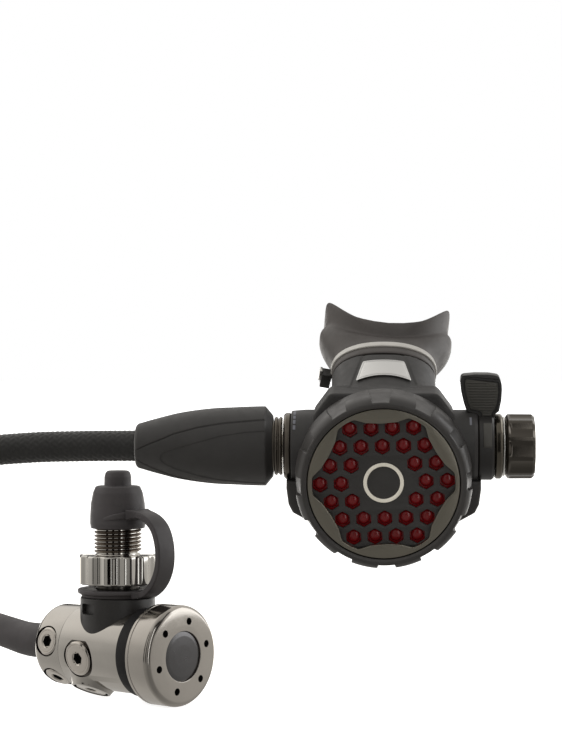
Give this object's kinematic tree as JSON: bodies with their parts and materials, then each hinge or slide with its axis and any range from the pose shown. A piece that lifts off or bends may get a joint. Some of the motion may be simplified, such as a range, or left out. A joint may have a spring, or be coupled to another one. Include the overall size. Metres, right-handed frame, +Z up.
{
  "type": "scuba regulator set",
  "caption": "Two-stage diving regulator: diaphragm first stage with DIN hand wheel, braided low-pressure hose and balanced second stage with honeycomb purge cover.",
  "frame": {"origin": "middle of the footprint of everything but the hose, on the surface the first stage stands on", "axes": "+X from the hose side to the adjusting knob, +Y from the purge cover towards the mouthpiece, +Z up along the DIN connector"},
  "size_m": [0.4492, 0.2316, 0.1861],
  "materials": {
    "gunmetal": "polished dark nickel",
    "gunmetal_plug": "polished nickel",
    "brass_plain": "machined",
    "steel_plain": "plain",
    "rubber_black": "matte",
    "rubber_grey": "satin, dark grey",
    "silicone_dark": "matte dark grey silicone",
    "silicone_clear": "translucent white silicone",
    "braid_black": "braided nylon over rubber",
    "plastic_black": "fine moulded grain",
    "plastic_soft": "soft touch",
    "plastic_red": "deep red",
    "plastic_white": "light grey",
    "bronze_satin": "satin bronze grey",
    "dark_nickel": "dark nickel",
    "bright_ring": "bright",
    "inlay_ivory": "satin",
    "plate_silver": "brushed",
    "knob_dark": "dark satin nickel"
  },
  "bodies": {
    "root": {"first_body": "gunmetal", "turret_bolt": "brass_plain", "high_pressure_plugs": "gunmetal_plug", "band_ring": "rubber_black", "end_cap": "gunmetal", "cap_disc": "rubber_grey", "main_diaphragm": "rubber_black", "main_spring": "steel_plain", "spring_screw": "brass_plain", "first_seat": "brass_plain", "balance_spring": "steel_plain", "saddle": "plastic_black", "strap_ring": "rubber_grey", "cap_strap": "rubber_grey", "din_bolt": "gunmetal_plug", "din_filter": "brass_plain", "filter_clip": "steel_plain", "din_oring": "rubber_black", "first_stem": "gunmetal_plug", "first_boot": "rubber_grey", "lp_hose": "braid_black", "second_boot": "plastic_soft", "hose_stem": "gunmetal_plug", "hose_nut": "dark_nickel"},
    "turret": {"turret": "gunmetal", "low_pressure_plugs": "gunmetal_plug"},
    "first_valve": {"thrust_pad": "brass_plain", "first_poppet": "steel_plain"},
    "din_wheel": {"din_wheel": "gunmetal"},
    "dust_cap": {"dust_cap": "rubber_grey"},
    "second_stage": {"second_case": "plastic_soft", "inlet_ring": "dark_nickel", "valve_tube": "brass_plain", "orifice_seat": "brass_plain", "poppet_spring": "steel_plain", "knob_ring": "bronze_satin", "knob_washer": "bright_ring", "diaphragm": "silicone_clear", "purge_spring": "steel_plain", "trim_ring": "bronze_satin", "cover_ring": "plastic_soft", "exhaust_valves": "silicone_clear", "exhaust_covers": "plastic_black", "name_plate": "plate_silver", "mouthpiece": "silicone_dark", "mouthpiece_tie": "plastic_white", "tie_buckle": "plastic_black"},
    "purge": {"purge_cover": "plastic_black", "inner_cover": "plastic_red", "cover_emblem": "inlay_ivory"},
    "diaphragm_plate": {"diaphragm_disc": "steel_plain"},
    "lever": {"demand_lever": "steel_plain"},
    "poppet": {"demand_poppet": "steel_plain"},
    "venturi": {"venturi_lever": "plastic_black", "venturi_vane": "plastic_white"},
    "knob": {"adjust_knob": "knob_dark"},
    "screw": {"adjust_screw": "brass_plain"}
  },
  "joints": [
    {"name": "second_stage_swivel", "type": "hinge", "parent": "root", "child": "second_stage", "pos_m": [0.025, -0.0583, 0.124], "axis": [1, 0, 0], "continuous": true},
    {"name": "turret_swivel", "type": "hinge", "parent": "root", "child": "turret", "pos_m": [-0.08106, 0.04944, 0.02375], "axis": [0.788, -0.6157, 0], "continuous": true},
    {"name": "first_valve_slide", "type": "slide", "parent": "root", "child": "first_valve", "axis": [-0.788, 0.6157, 0], "range_m": [0, 0.0006], "stiffness_N_per_m": 4000, "springref_m": -0.0005},
    {"name": "din_wheel_spin", "type": "hinge", "parent": "root", "child": "din_wheel", "pos_m": [-0.059, 0.0322, 0.06375], "axis": [0, 0, 1], "continuous": true},
    {"name": "din_cap_pull", "type": "slide", "parent": "root", "child": "dust_cap", "axis": [0, 0, 1], "range_m": [0, 0.04], "deforming": ["cap_strap"]},
    {"name": "purge_press", "type": "slide", "parent": "second_stage", "child": "purge", "axis": [0, 0.9863, 0.165], "range_m": [0, 0.003], "stiffness_N_per_m": 600, "springref_m": -0.002, "deforming": ["purge_spring", "diaphragm"]},
    {"name": "diaphragm_travel", "type": "slide", "parent": "second_stage", "child": "diaphragm_plate", "axis": [0, 0.9863, 0.165], "range_m": [0, 0.003]},
    {"name": "demand_lever_swing", "type": "hinge", "parent": "second_stage", "child": "lever", "pos_m": [0.08005, -0.06659, 0.12261], "axis": [0, 0.165, -0.9863], "range_deg": [0, 12]},
    {"name": "demand_valve_slide", "type": "slide", "parent": "second_stage", "child": "poppet", "axis": [1, 0, 0], "range_m": [0, 0.0012], "deforming": ["poppet_spring"]},
    {"name": "venturi_lever_turn", "type": "hinge", "parent": "second_stage", "child": "venturi", "pos_m": [0.112, -0.0583, 0.124], "axis": [-1, 0, 0], "range_deg": [0, 60]},
    {"name": "adjust_knob_turn", "type": "hinge", "parent": "second_stage", "child": "knob", "pos_m": [0.126, -0.0583, 0.124], "axis": [1, 0, 0], "range_deg": [-360, 360]},
    {"name": "adjust_screw_feed", "type": "slide", "parent": "second_stage", "child": "screw", "axis": [-1, 0, 0], "range_m": [-0.001, 0.001]}
  ],
  "couplings": [
    {"joint": "diaphragm_travel", "follows": "purge_press", "ratio": 1},
    {"joint": "demand_lever_swing", "follows": "purge_press", "rad_per_m": 69.2},
    {"joint": "demand_valve_slide", "follows": "purge_press", "ratio": 0.36},
    {"joint": "adjust_screw_feed", "follows": "adjust_knob_turn", "m_per_rad": 0.00015915}
  ]
}
